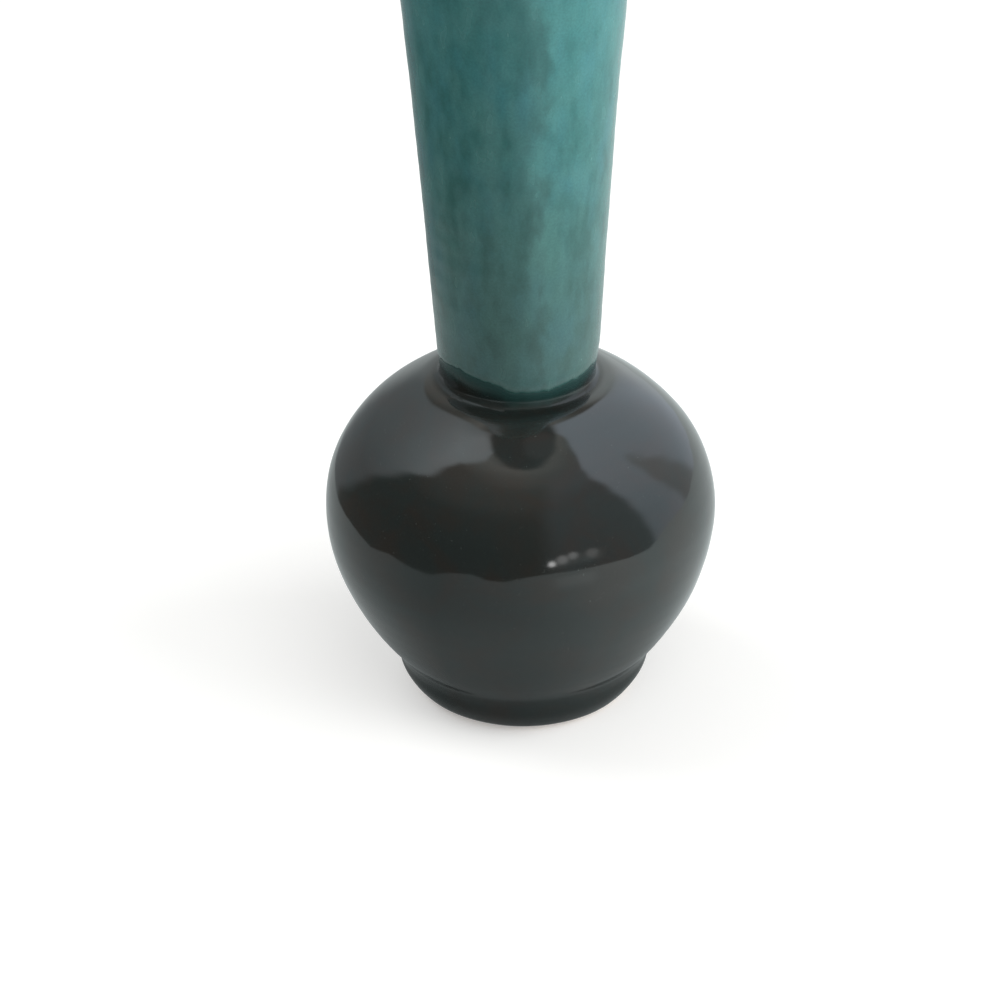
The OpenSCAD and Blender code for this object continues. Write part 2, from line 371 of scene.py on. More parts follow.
# sRGB hex to linear colour: (c / 12.92) below 0.04045, else ((c + 0.055) / 1.055) ^ 2.4; a number is a grey
def linear(colour, shade=1.0):
    if not isinstance(colour, str):
        return [colour] * 3 + [1]
    values = [int(colour[k:k + 2], 16) / 255 for k in (1, 3, 5)]
    return [shade * (v / 12.92 if v <= 0.04045 else ((v + 0.055) / 1.055) ** 2.4) for v in values] + [1]


# The first socket in use, or the one with a number or a name
def socketOf(sockets, key=None):
    if isinstance(key, int):
        return sockets[key]
    return next(socket for socket in sockets if socket.enabled and key in (None, socket.name))


# One node: settings are its own choices, and sockets its inputs by name or number, each a value, a colour,
# an output or a node, which stands for its first output. A ramp's stops are places and colours.
def addNode(tree, kind, sockets={}, stops=(), shade=1.0, **settings):
    node = tree.nodes.new("ShaderNode" + kind)
    for name, value in settings.items():
        setattr(node, name, value)
    for key, value in sockets.items():
        if isinstance(value, bpy.types.Node):
            value = socketOf(value.outputs)
        if isinstance(value, bpy.types.NodeSocket):
            tree.links.new(value, socketOf(node.inputs, key))
        else:
            socketOf(node.inputs, key).default_value = linear(value) if isinstance(value, str) else value
    for k, (position, colour) in enumerate(stops):
        element = node.color_ramp.elements[k] if k < 2 else node.color_ramp.elements.new(position)
        element.position, element.color = position, linear(colour, shade)
    return node


# The ranges of a map: where it starts and ends, and what it gives there
def ranges(start, end, low, high):
    return {"From Min": start, "From Max": end, "To Min": low, "To Max": high}


# A new material, and what adds a node to it
def newMaterial(name):
    material = bpy.data.materials.new(name)
    material.use_nodes = True
    material.node_tree.nodes.clear()
    return material, functools.partial(addNode, material.node_tree)


# Teal glaze: a satin copper and tin glaze, poured from the rim. It breaks into soft upright patches, bluer
# and lighter toward the rim and greyer low down. Painted light lightens its side toward the right lamp.
# Widths are in mm.
tealLook = {
    "hue": [(0.38, "#2c5f5a"), (0.64, "#2a6165")], "deep": "#184e4a", "pale": "#3f716d", "high": "#306769",
    "grey": "#465f5b", "melt": "#27504c", "deepStops": [(0.35, 1), (0.56, 0)],
    "paleStops": [(0.4, 0), (0.7, 0.6)],
    "patch": (5.5, 0.5), "streak": (4.0, 0.4),  # width in mm, and width over height
    # shares by mm above the glaze's edge: where each starts and ends, and how much it is there
    "shares": {"high": (20, 90, 0, 0.45), "thin": (0, 3, 0.3, 0), "low": (4, 60, 0.45, 0),
               # the last share sets how much of the painted side light shows at each height above the edge
               "melt": (0.1, 1.1, 0.9, 0), "pour": (0, 50, 0.65, 1)},
    "gains": [(0, 0.72), (12, 0.79), (35, 0.93), (60, 1.02), (85, 1.14)],  # brightness by mm above the edge
    "litSideTurn": 104, "litSideGain": 0.37, "litSideWander": 10.0, "litSideBlend": 3.2,  # painted light on the side toward the right lamp
    "sheen": (0.3, 0.7, 0.2, 0.28), "ior": 1.5,  # roughness by the streaks
    "grain": {"width": 0.5, "depth": 0.03, "strength": 0.25, "fleck": (0.25, 0.75, 0.9, 1.1)},
}


def tealGlaze():
    look, grain = tealLook, tealLook["grain"]
    material, add = newMaterial("satin_teal_glaze")
    place = add("TexCoord").outputs["Object"]
    wide, narrow = (add("Mapping", {"Vector": place, "Scale": [k / (width * mm) for k in (1, 1, stretch)]})
                    for width, stretch in (look["patch"], look["streak"]))
    patches = add("TexNoise", {"Vector": wide, "Scale": 1, "Detail": 2.5, "Roughness": 0.55})
    hues = add("TexNoise", {"Vector": wide, "Scale": 0.5, "W": 3.7}, noise_dimensions="4D")
    streaks = add("TexNoise", {"Vector": narrow, "Scale": 1})
    grit = add("TexNoise", {"Vector": place, "Scale": 1 / (grain["width"] * mm), "Detail": 1})
    edge = add("Attribute", attribute_name="fromEdge").outputs["Fac"]
    share = {name: add("MapRange", {"Value": edge, **ranges(*values)},
                       interpolation_type="SMOOTHSTEP" if name in ("thin", "melt") else "LINEAR")
             for name, values in look["shares"].items()}
    share["deep"] = add("ValToRGB", {"Fac": patches}, look["deepStops"])
    share["pale"] = add("ValToRGB", {"Fac": streaks}, look["paleStops"])
    share["grey"] = add("Math", {0: share["thin"], 1: share["low"]}, operation="ADD")
    # the colours laid over one another, each with its share
    colour = add("ValToRGB", {"Fac": hues}, look["hue"])
    for name in ("deep", "pale", "high", "grey", "melt"):
        colour = add("Mix", {"Factor": share[name], "A": colour, "B": look[name]}, data_type="RGBA")
    # painted light: the side toward the right lamp is made lighter; patches push its edge to and fro
    turn = math.radians(look["litSideTurn"])
    across = add("VectorMath", {0: place, 1: (math.sin(turn) / mm, -math.cos(turn) / mm, 0)},
                 operation="DOT_PRODUCT")
    wander = add("MapRange", {"Value": patches, **ranges(0, 1, -look["litSideWander"], look["litSideWander"])})
    bent = add("Math", {0: across, 1: wander}, operation="ADD")
    blend = ranges(-look["litSideBlend"], look["litSideBlend"], 0, look["litSideGain"])
    litSideLight = add("MapRange", {"Value": bent, **blend}, interpolation_type="SMOOTHSTEP")
    # the gains: the painted light on one side, the fleck of the grain, and the height, which a ramp holds at
    # half its size
    gain = add("Math", {0: litSideLight, 1: share["pour"], 2: 1}, operation="MULTIPLY_ADD")
    fleck = add("MapRange", {"Value": grit, **ranges(*grain["fleck"])})
    top = look["gains"][-1][0]
    byHeight = add("MapRange", {"Value": edge, "From Max": top})
    rising = add("ValToRGB", {"Fac": byHeight}, [(z / top, value / 2) for z, value in look["gains"]])
    for factor in (fleck, rising, 2):
        gain = add("Math", {0: gain, 1: factor}, operation="MULTIPLY")
    flecked = add("VectorMath", {0: colour, "Scale": gain}, operation="SCALE")
    sheen = add("MapRange", {"Value": streaks, **ranges(*look["sheen"])})
    relief = add("Bump", {"Height": grit, "Strength": grain["strength"], "Distance": grain["depth"] * mm})
    shader = add("BsdfPrincipled", {"Base Color": flecked, "Roughness": sheen, "IOR": look["ior"],
                                    "Normal": relief})
    add("OutputMaterial", {"Surface": shader})
    return material


# Charcoal glaze: a glossy iron and cobalt glaze, nearly black with a blue-green cast, and brown where it
# thins. Its faint orange-peel skin mirrors the room. Widths are in mm.
charcoalLook = {
    "hue": [(0.38, "#1f1e1b"), (0.58, "#19201f")], "teal": "#1d3b39", "pinhole": "#3c423f",
    "pinholeStops": [(0.75, 0), (0.8, 1)], "patchWidth": 13.0, "speckWidth": 0.5,
    "peelWidth": 2.2, "peel": 0.008, "peelStrength": 0.5, "ior": 1.53,
    "near": (0, 5, 0.9, 0), "pool": (0.5, 2, 0.6, 0),  # by mm below the teal glaze and from the crease
    "sheen": (0.3, 0.7, 0.06, 0.1), "satin": 0.25, "level": (0, 1, 0.5, 0.12),
}


def charcoalGlaze():
    look = charcoalLook
    material, add = newMaterial("glossy_charcoal_glaze")
    place = add("TexCoord").outputs["Object"]
    patches = add("TexNoise", {"Vector": place, "Scale": 1 / (look["patchWidth"] * mm), "Detail": 4,
                               "Roughness": 0.6, "Distortion": 0.5})
    peel, specks = (add("TexNoise", {"Vector": place, "Scale": 1 / (look[key] * mm), "Detail": 1})
                    for key in ("peelWidth", "speckWidth"))
    hue = add("ValToRGB", {"Fac": patches}, look["hue"])
    edge = add("Attribute", attribute_name="underLine").outputs["Fac"]
    near = add("MapRange", {"Value": edge, **ranges(*look["near"])}, interpolation_type="SMOOTHSTEP")
    tinted = add("Mix", {"Factor": near, "A": hue, "B": look["teal"]}, data_type="RGBA")
    pinholes = add("ValToRGB", {"Fac": specks}, look["pinholeStops"])
    flecked = add("Mix", {"Factor": pinholes, "A": tinted, "B": look["pinhole"]}, data_type="RGBA")
    sheen = add("MapRange", {"Value": patches, **ranges(*look["sheen"])})
    # where it runs out under the teal glaze and where it pooled in the crease it turns satin
    crease = add("Attribute", attribute_name="fromCrease").outputs["Fac"]
    away = add("Math", {0: crease}, operation="ABSOLUTE")
    pool = add("MapRange", {"Value": away, **ranges(*look["pool"])}, interpolation_type="SMOOTHSTEP")
    dull = add("Math", {0: near, 1: pool}, operation="MAXIMUM")
    sheen = add("Math", {0: dull, 1: look["satin"], 2: sheen}, operation="MULTIPLY_ADD")
    level = add("MapRange", {"Value": dull, **ranges(*look["level"])})
    relief = add("Bump", {"Height": peel, "Strength": look["peelStrength"], "Distance": look["peel"] * mm})
    shader = add("BsdfPrincipled", {"Base Color": flecked, "Roughness": sheen, "IOR": look["ior"],
                                    "Specular IOR Level": level, "Normal": relief})
    add("OutputMaterial", {"Surface": shader})
    return material


# Liner glaze: the charcoal and teal glazes mixed and poured round the inside, glossy and dark green-grey
linerLook = {"hue": [(0.35, "#202f2e"), (0.7, "#36504d")], "patchWidth": 9.0, "roughness": 0.12, "ior": 1.52}


def linerGlaze():
    look = linerLook
    material, add = newMaterial("poured_liner_glaze")
    place = add("TexCoord").outputs["Object"]
    patches = add("TexNoise", {"Vector": place, "Scale": 1 / (look["patchWidth"] * mm), "Detail": 4})
    hue = add("ValToRGB", {"Fac": patches}, look["hue"])
    shader = add("BsdfPrincipled", {"Base Color": hue, "Roughness": look["roughness"], "IOR": look["ior"]})
    add("OutputMaterial", {"Surface": shader})
    return material


# Stoneware clay, turned and fired bare: buff and matt, with iron specks, a gritty grain and a toasted flush
clayLook = {
    "hue": [(0.35, "#8a6a4c"), (0.65, "#b39c7d")], "iron": "#4c3a2c", "ironStops": [(0.27, 1), (0.33, 0)],
    "flush": (12.0, 3), "speck": (0.6, 1), "grit": (0.35, 2),  # width in mm, and detail
    "depth": 0.06, "strength": 0.6, "roughness": 0.88, "ior": 1.5,
}


def clay(name, shade=1.0):
    look = clayLook
    material, add = newMaterial(name)
    place = add("TexCoord").outputs["Object"]
    flush, specks, grit = (add("TexNoise", {"Vector": place, "Scale": 1 / (width * mm), "Detail": detail})
                           for width, detail in (look["flush"], look["speck"], look["grit"]))
    hue = add("ValToRGB", {"Fac": flush}, look["hue"], shade)
    iron = add("ValToRGB", {"Fac": specks}, look["ironStops"])
    specked = add("Mix", {"Factor": iron, "A": hue, "B": look["iron"]}, data_type="RGBA")
    relief = add("Bump", {"Height": grit, "Strength": look["strength"], "Distance": look["depth"] * mm})
    shader = add("BsdfPrincipled", {"Base Color": specked, "Roughness": look["roughness"],
                                    "IOR": look["ior"], "Normal": relief})
    add("OutputMaterial", {"Surface": shader})
    return material


stonewareClay = clay("fired_stoneware_clay")
joiningSlip = clay("fired_joining_slip", 0.8)
print("materials made")

# Where the teal glaze stopped running, in mm above the neck's foot: points given round the neck,
# by degrees from the camera, then rounded off with small scallops on top
glazeLine = {
    "turns": [-70, -46, -25, -13, -7, 5, 22, 34, 44, 62, 86, 110, 133, 152, 176, 200, 226, 250, 272],
    "heights": [5.8, 6.7, 5.1, 4.6, 2.6, 2.7, 2.4, 3.4, 3.3, 4.2, 3, 3.5, 2.8, 4.9, 4, 5.5, 4.2, 4.8, 4.5],
    "half": 9, "width": 2.2, "scallop": 0.16, "scallops": 23, "groups": 7, "groupStart": 1.1,
    "overlap": 0.9,  # how far the charcoal coat goes on under the teal one
    "bead": 0.08, "beadReach": 0.9,  # how far the teal coat swells just above its edge
    "round": 0.45, "roundShare": 0.8,  # radius of the rounded edge, and how much of it is drawn
}


# Heights of the line: straight between the points, smoothed over a few degrees, plus two sets of scallops
def lineHeight(turn):
    g = glazeLine
    half = g["half"]
    fine = np.arange(0, 360, 1.0)
    height = np.interp(fine, g["turns"], g["heights"], period=360)
    around = np.concatenate([height[-half:], height, height[:half]])
    height = np.convolve(around, bellWeights(half, g["width"]), "valid")
    height = np.interp(np.degrees(turn), fine, height, period=360)
    scallop = np.sin(g["scallops"] * turn + g["groupStart"]) * np.sin(g["groups"] * turn)
    return neckFootHeight + height + g["scallop"] * (scallop + 0.5 * np.sin(2.0 * g["scallops"] * turn))


# Rows from one run to another that may change with the turn: even steps of the share of the way, eased
def rowsBetween(start, end, count, ease=1.0):
    share = np.linspace(0, 1, count + 1)[1:, None] ** ease
    return start + (end - start) * share


# A coat's skin at its runs and depths, and its other side against the clay back along the hidden runs
def makeCoat(name, turn, run, depth, hidden):
    depth = np.concatenate([depth, glazeThickness + 0 * hidden])
    return makePiece(name, *coatPoints(np.concatenate([run, hidden]), depth), turn, looped=True)


charcoalCoat = {
    "columns": 340, "step": 0.66, "creaseReach": 4.5, "creaseStep": 0.14, "bandRows": 16, "hiddenRows": 44,
    "edgeRound": 0.35, "dip": 0.28, "dipEarly": 0.1, "hiddenShort": 0.05,
    "seed": 11, "waves": 26, "wave": 0.05, "timesRound": 8, "lengths": (16, 70),
    "rings": 0.006, "ringSpacing": 4.5, "swirl": 2, "swirlRun": 17, "spare": 0.08, "spareReach": 9,
}


# The coat from the foot up to a little past the teal glaze's edge, and back down against the clay
def makeCharcoalCoat():
    c, g = charcoalCoat, glazeLine
    turn = turnsOf(c["columns"])
    neckFootRun = runAtHeight(neckFootHeight)
    lineRun = runAtHeight(lineHeight(turn)) + g["overlap"]
    fineFrom = neckFootRun - c["creaseReach"]
    steps = (0, fineFrom, c["step"]), (fineFrom, neckFootRun, c["creaseStep"])
    fixed = [np.arange(*step)[:, None] + 0 * turn for step in steps]
    run = np.concatenate([*fixed, rowsBetween(neckFootRun, lineRun, c["bandRows"])])
    # the skin rounds in at the foot's edge, and dips under the teal coat at the top
    dip = c["dip"] * np.clip((run - lineRun + g["overlap"] + c["dipEarly"]) / g["overlap"], 0, 1) ** 2
    depth = skinDepth(turn, run, c, runAtHeight(form["bellyHeight"])) + edgeDepth(run, c["edgeRound"]) + dip
    hidden = np.linspace(1, 0, c["hiddenRows"])[:, None] * (lineRun - c["hiddenShort"])
    piece = makeCoat("charcoal_glaze_coat", turn, run, depth, hidden)
    run = np.concatenate([run, hidden])
    keepValue(piece, "underLine", lineRun - g["overlap"] - run)
    keepValue(piece, "fromCrease", run - runAtHeight(neckFootHeight - form["filletRise"]))
    dress(piece, "body_glaze", charcoalGlaze())


tealCoat = {
    "columns": 300, "step": 0.75, "edgeRows": 32, "edgeEase": 1.8, "edgeReach": 14, "hiddenRows": 60,
    "dip": 0.3, "dipRun": 0.4, "hiddenShort": 0.02,
    "seed": 23, "waves": 30, "wave": 0.05, "timesRound": 6, "lengths": (10, 50),
    "rings": 0.015, "ringSpacing": 6.0, "swirl": 3, "swirlRun": 23, "spare": 0.12, "spareReach": 7,
}


# The coat from its own edge up the neck, over the lip and in to the throat, and back against the clay
def makeTealCoat():
    c, g = tealCoat, glazeLine
    turn = turnsOf(c["columns"])
    lineRun = runAtHeight(lineHeight(turn))
    freeRun = runAtHeight(neckFootHeight + c["edgeReach"])
    end = coatRun[-1]
    near = rowsBetween(lineRun, freeRun, c["edgeRows"], c["edgeEase"])
    above = rowsBetween(freeRun, end, int((end - freeRun) / c["step"])) + 0 * turn
    run = np.concatenate([lineRun, near, above])
    fromEdge = run - lineRun
    bead = g["bead"] * bell((fromEdge - g["beadReach"]) / g["beadReach"])
    dip = c["dip"] * np.clip((run - end + c["dipRun"]) / c["dipRun"], 0, 1) ** 2
    depth = skinDepth(turn, run, c, coatRun[rimAt]) + g["roundShare"] * edgeDepth(fromEdge, g["round"])
    depth += dip - bead
    share = np.linspace(1, 0, c["hiddenRows"])[:, None]
    hidden = lineRun + c["hiddenShort"] + share * (end - lineRun - 2 * c["hiddenShort"])
    piece = makeCoat("teal_glaze_coat", turn, run, depth, hidden)
    keepValue(piece, "fromEdge", np.concatenate([run, hidden]) - lineRun)
    dress(piece, "neck_glaze", tealGlaze())


liner = {"columns": 220, "rings": 5, "ringDepth": 0.3, "shownStep": 0.8, "hiddenStep": 1.6}


# Depth of throwing rings along a share of the way: half of one less the cosine, so many times over
def ringsOver(share, rings, depth):
    return depth * (1 - np.cos(2 * np.pi * rings * share)) / 2


# The inside from the middle of the floor up the bowl, the shoulder and the neck, in a depth of glaze
def insideProfile(depth):
    f = form
    floorTop = bossHeight + f["floorThickness"]
    innerRadius = globeRadius - glazeThickness - f["bodyWall"]
    bowl = curve([[0, floorTop], [f["floorRun"], floorTop],
                  [innerRadius, f["bellyHeight"] - f["innerDown"]], [innerRadius, f["bellyHeight"]]])
    ring = ringsOver(np.linspace(0, 1, len(bowl)), liner["rings"], liner["ringDepth"])
    bowl = inset(bowl, depth - ring)
    shoulder = inset(curve(outside["shoulder"]), glazeThickness + f["bodyWall"] + depth - ring)
    bowl[0, 0] = 0
    return softened(evenly(bowl, shoulder, boreProfile(depth)[0]), f["soften"])


# A profile that starts and ends on the axis, turned into a closed piece
def turnedSolid(name, columns, *parts):
    turn = turnsOf(columns)
    profile = np.concatenate(parts)
    profile[[0, -1], 0] = 0
    return makePiece(name, *turnedGrids(profile, turn), turn, looped=False)


# The liner's skin, and back down the clay under it
def makeLiner():
    shown = evenly(insideProfile(glazeThickness), step=liner["shownStep"])
    hidden = evenly(insideProfile(0), step=liner["hiddenStep"])[::-1]
    dress(turnedSolid("poured_liner_coat", liner["columns"], shown, hidden),
          "liner_glaze", linerGlaze())


underCoat = {"columns": 200, "step": 0.6, "hidden": 0.03}  # the clay keeps this far under the glaze


# The underside of the coat between two runs, a little below the glaze
def underside(start, end, step=0.5):
    return np.stack(coatPoints(np.arange(start, end, step), glazeThickness + underCoat["hidden"]), 1)


# A ring of straight lines and curves turned round the axis
def turnedRing(name, *parts):
    turn = turnsOf(underCoat["columns"])
    profile = evenly(*parts, parts[0][:1], step=underCoat["step"])[:-1]
    return makePiece(name, *turnedGrids(profile, turn), turn, looped=True)


footTurning = {
    "columns": 260, "step": 0.25, "sideStep": 0.3, "topStep": 1.2, "sideGap": 0.2, "edgeOut": 0.4,
    "edge": 0.5, "rings": 0.05, "ringSpacing": 1.1, "wobble": 0.5, "chatter": 0.02, "chatters": 90,
    "marksTop": 3.2, "marksFade": 1.5, "marksFrom": 20, "marksRun": 2, "soften": 0.4,
}


# Turning marks: fine grooves whose depth follows the cosine of the run, with a quick chatter round the turn
def turningMarks(turn, run):
    t = footTurning
    groove = (1 + np.cos(2 * np.pi * run / t["ringSpacing"] + t["wobble"] * np.sin(turn))) / 2
    return t["rings"] * groove + t["chatter"] * (1 + np.sin(t["chatters"] * turn + run)) / 2


# The foot from its recess over the bare edge, which has turning marks, up under the coat and over its top
def makeFootRing():
    f, t = form, footTurning
    turn = turnsOf(t["columns"])
    ringTop = waistHeight - f["slipThickness"]
    bossSide = f["bossRadius"] + f["slipThickness"]
    bare = inset(evenly(curve(outside["stand"], 0, f["bareShare"]), step=t["sideStep"]), glazeThickness)
    upper = underside(t["sideStep"], runAtHeight(waistHeight) - t["sideGap"], t["sideStep"])
    side = np.concatenate([bare, upper])
    side[:, 1] = np.clip(side[:, 1], 0, ringTop)
    recessEdge = f["recessRadius"] + t["edgeOut"]
    recess = [[bossSide, bossHeight], [recessEdge, t["edge"]], [recessEdge + t["edge"], 0]]
    profile = evenly(recess, side, [[side[-1, 0], ringTop]], step=t["step"])
    shown = np.clip((t["marksTop"] - profile[:, 1:]) / t["marksFade"], 0, 1)
    shown = shown * np.clip((profile[:, :1] - t["marksFrom"]) / t["marksRun"], 0, 1)
    normal = normalsOf(softened(profile, t["soften"]))
    marks = turningMarks(turn, runOf(profile)[:, None]) * shown
    radius, height = turnedGrids(profile, turn)
    height = np.maximum(height - marks * normal[:, 1:], 0)
    top = evenly([[side[-1, 0], ringTop], [bossSide, ringTop], [bossSide, bossHeight]], step=t["topStep"])
    topRadius, topHeight = turnedGrids(top[1:-1], turn)
    radius = np.concatenate([radius - marks * normal[:, :1], topRadius])
    piece = makePiece("turned_foot_ring", radius, np.concatenate([height, topHeight]), turn, looped=True)
    dress(piece, "foot_ring", stonewareClay)


globeTurning = {"columns": 220, "rings": 5, "depth": 0.25, "bossRows": 110, "seatGap": 0.2, "step": 1.0,
                "innerSpare": 1.5}


# The clay globe: a boss with turning rings below, the seat on the foot, the outer clay and the inner wall
def makeGlobe():
    f, t = form, globeTurning
    across = np.linspace(0, f["bossRadius"], t["bossRows"])
    ring = ringsOver(across / f["bossRadius"], t["rings"], t["depth"])
    boss = np.stack([across, bossHeight + ring], 1)
    seatHeight = outside["shoulder"][3][1] - glazeThickness * math.cos(math.radians(f["shoulderSlope"]))
    outer = underside(runAtHeight(waistHeight + t["seatGap"]), runAtHeight(seatHeight), t["step"])
    seat = [[f["bossRadius"], waistHeight], [outer[0, 0], waistHeight]]
    inner = insideProfile(0)
    below = inner[:, 1] < outer[-1, 1] - f["bodyWall"] + t["innerSpare"]
    inner = evenly(inner[below][::-1], step=t["step"])
    socket = [[inner[0, 0], outer[-1, 1]]]
    dress(turnedSolid("thrown_clay_globe", t["columns"], boss, seat, outer, socket, inner),
          "body", stonewareClay)


joints = {"rimShort": 1.5, "filletLift": 0.5}  # where the clay stops under the lip, and the slip starts


# The clay neck: spigot, ledge, the wall under the glaze and the bore; and the slip in both its joints
def makeNeckAndSlips():
    f = form
    boreRadius = f["neckRadius"] - glazeThickness - f["neckWall"]
    spigotRadius = boreRadius + f["spigotWall"]
    socketRadius = spigotRadius + f["slipThickness"]
    collar = np.array(outside["shoulder"][3])
    outward = along(90 - f["shoulderSlope"])
    seat = collar - glazeThickness * outward
    below = collar - (glazeThickness + f["bodyWall"]) * outward
    spigotEnd = below[1] + (below[0] - socketRadius) * math.tan(math.radians(f["shoulderSlope"]))
    ledge = seat[1] + f["slipThickness"]
    low, high = boreProfile(0)
    wall = underside(runAtHeight(neckFootHeight), coatRun[rimAt] - joints["rimShort"])
    spigot = [[boreRadius, spigotEnd], [spigotRadius, spigotEnd], [spigotRadius, ledge], [wall[0, 0], ledge]]
    dress(turnedRing("thrown_clay_neck", spigot, wall, high[::-1], low[::-1]),
          "neck", stonewareClay)
    fillet = underside(runAtHeight(seat[1] + joints["filletLift"]), runAtHeight(neckFootHeight))
    gap = [[spigotRadius, spigotEnd], [socketRadius, spigotEnd], [socketRadius, seat[1]],
           [fillet[0, 0], seat[1]]]
    over = [[wall[0, 0], ledge], [spigotRadius, ledge]]
    dress(turnedRing("neck_joint_slip", gap, fillet, over), "neck_lute", joiningSlip)
    boss, top, slip = f["bossRadius"], waistHeight, f["slipThickness"]
    edge = underside(runAtHeight(top), runAtHeight(top) + slip)[0, 0]
    footGap = [[boss, bossHeight], [boss + slip, bossHeight], [boss + slip, top - slip], [edge, top - slip],
               [edge, top], [boss, top]]
    dress(turnedRing("foot_joint_slip", footGap), "foot_lute", joiningSlip)


makeNeckAndSlips()
makeCharcoalCoat()
makeTealCoat()
makeLiner()
makeFootRing()
makeGlobe()
print("pieces made")

# Stage: a pale floor, soft lights, and the room that the gloss mirrors; lengths are in mm
stageLook = {"floorRadius": 2500, "floorRows": 9, "floorHeight": -0.05, "floorColour": "#e6e6e4",
             "floorGlow": 0.3, "fill": 0.42}


# A grid of points becomes an open sheet with its material
def stagePiece(name, points, material):
    rows, columns = points.shape[:2]
    row = np.arange(rows - 1)[:, None] * columns
    column = np.arange(columns - 1)
    piece = newMesh(name, points.reshape(-1, 3), cells(row, row + columns, column, column + 1).tolist())
    piece.data.materials.append(material)
    return piece


# Matt pale board; the camera sees it glow a little, to meet the white behind it, and not at all from below
def paleFloor():
    look = stageLook
    material, add = newMaterial("pale_matt_board")
    seen = add("LightPath").outputs["Is Camera Ray"]
    glow = add("Math", {0: seen, 1: look["floorGlow"]}, operation="MULTIPLY")
    board = add("BsdfDiffuse", {"Color": look["floorColour"]})
    both = add("AddShader", {0: board, 1: add("Emission", {"Color": linear(1), "Strength": glow})})
    below = add("NewGeometry").outputs["Backfacing"]
    surface = add("MixShader", {0: below, 1: both, 2: add("BsdfTransparent")})
    add("OutputMaterial", {"Surface": surface})
    return material


# A flat square of even steps just under the foot
def makeFloor():
    look = stageLook
    side = np.linspace(-look["floorRadius"], look["floorRadius"], look["floorRows"])
    x, y = np.meshgrid(side, side)
    floor = stagePiece("pale_floor", np.stack([x, y, 0 * x + look["floorHeight"]], -1), paleFloor())
    floor.visible_glossy = False  # the mirrored table stands for it


# The room that the gloss mirrors, by degrees: turn 0 is toward the camera, plus is to its right, and rise 90
# is overhead. Brightness 1 is white, and lists of pairs give a value or a turn at each rise.
room = {
    "centre": 45.0, "distance": 1600.0, "lowest": -14,
    "front": [(-14, 0.16), (10, 0.15), (35, 0.2), (47, 0.38), (58, 0.5), (66, 0.85), (72, 1.15), (77, 0.6),
              (82, 0.42), (90, 0.5)],
    "back": [(-14, 0.4), (20, 0.6), (45, 0.5), (60, 0.3), (80, 0.35), (90, 0.5)],
    "backTurn": 150, "backBlend": 12, "wallTint": "#fffaf2",
    "patches": {
        "right wall": {
            "left": [(-20, 14), (40, 16), (60, 30)], "right": [(-20, 90)], "top": 62, "blend": 9,
            "bright": [(-12, 0.36), (20, 0.42), (45, 0.5), (60, 0.8)], "tint": "#fbfbff"},
        "left skylight": {
            "left": [(-12, -190), (20, -176), (32, -156), (42, -143), (66, -128), (75, -118)],
            "right": [(-12, -130), (0, -117), (9, -111), (24, -100), (38, -90), (47, -79), (60, -74),
                      (71, -52)],
            "sides": [(-160, 0.66), (-140, 0.72), (-120, 0.84), (-100, 1.05), (-88, 1.2)],
            "top": 79, "blend": 4, "tint": "#f2fbff",
            "bright": [(-12, 0.46), (10, 0.6), (25, 0.9), (38, 1.2), (50, 1.56), (62, 1.93), (75, 1.83)]},
        "right window": {
            "left": [(-12, 81), (35, 70), (52, 66), (57, 67), (65, 80), (74, 96)],
            "right": [(-12, 175), (45, 147), (74, 118)], "top": 74, "blend": 3,
            "bright": [(-12, 1.15), (10, 1.38), (30, 1.8), (45, 2.1), (65, 2.45)], "tint": "#e8f3ff"},
        "window post": {
            "left": [(-12, 112), (20, 98), (40, 97)], "right": [(-12, 132), (20, 114), (40, 100)], "top": 40,
            "blend": 3, "bright": [(-12, 0.65), (5, 0.75), (40, 1.3)], "tint": "#f6fbff"},
        "far right window": {
            "left": [(-12, 158), (40, 150)], "right": [(-12, 195)], "top": 45, "blend": 8,
            "bright": [(-12, 0.85), (5, 1.3), (40, 1.4)], "tint": "#f6ffff"},
        "far left window": {
            "left": [(-12, -200)], "right": [(-12, -158), (40, -163)], "top": 28, "blend": 9,
            "bright": [(-12, 0.55), (5, 0.85), (28, 0.75)], "tint": "#f6ffff"},
    },
    # a soft strip of lit wall behind the small sunlit things: its rise at each turn, and how it fades
    "strip": {"line": [(15, 1.5), (30, 3.5), (45, 3.7)], "half": 3.3, "bright": 0.62, "blends": (2, 3, 2.6)},
    # turn, rise, radius, brightness and blend of each disc
    "discs": {
        "lampshade": (38, 85.5, 13.8, 0.22, 1.5), "its lit side": (63, 78.8, 6.5, 0.4, 2),
        "sunlit ledge": (22, 4.2, 2.9, 2.3, 1.6), "its far end": (28, 6.2, 2.6, 2.3, 1.6),
        "sunlit corner": (39, 5.2, 3.4, 1.35, 1.8), "sun on a knob": (16, 1.9, 1.8, 9, 1.1),
    },
    # turns and rises of the ball, from, to and step: all round, and finer round the bright spots
    "steps": [((-180, 181, 2.0), (8, 46, 0.5)), ((-90, 91, 1.0), (-5, 12, 0.5))],
}


# The value at a place along a list of pairs, straight between them and level past its ends
def valueAt(pairs, place):
    return np.interp(place, *zip(*pairs))


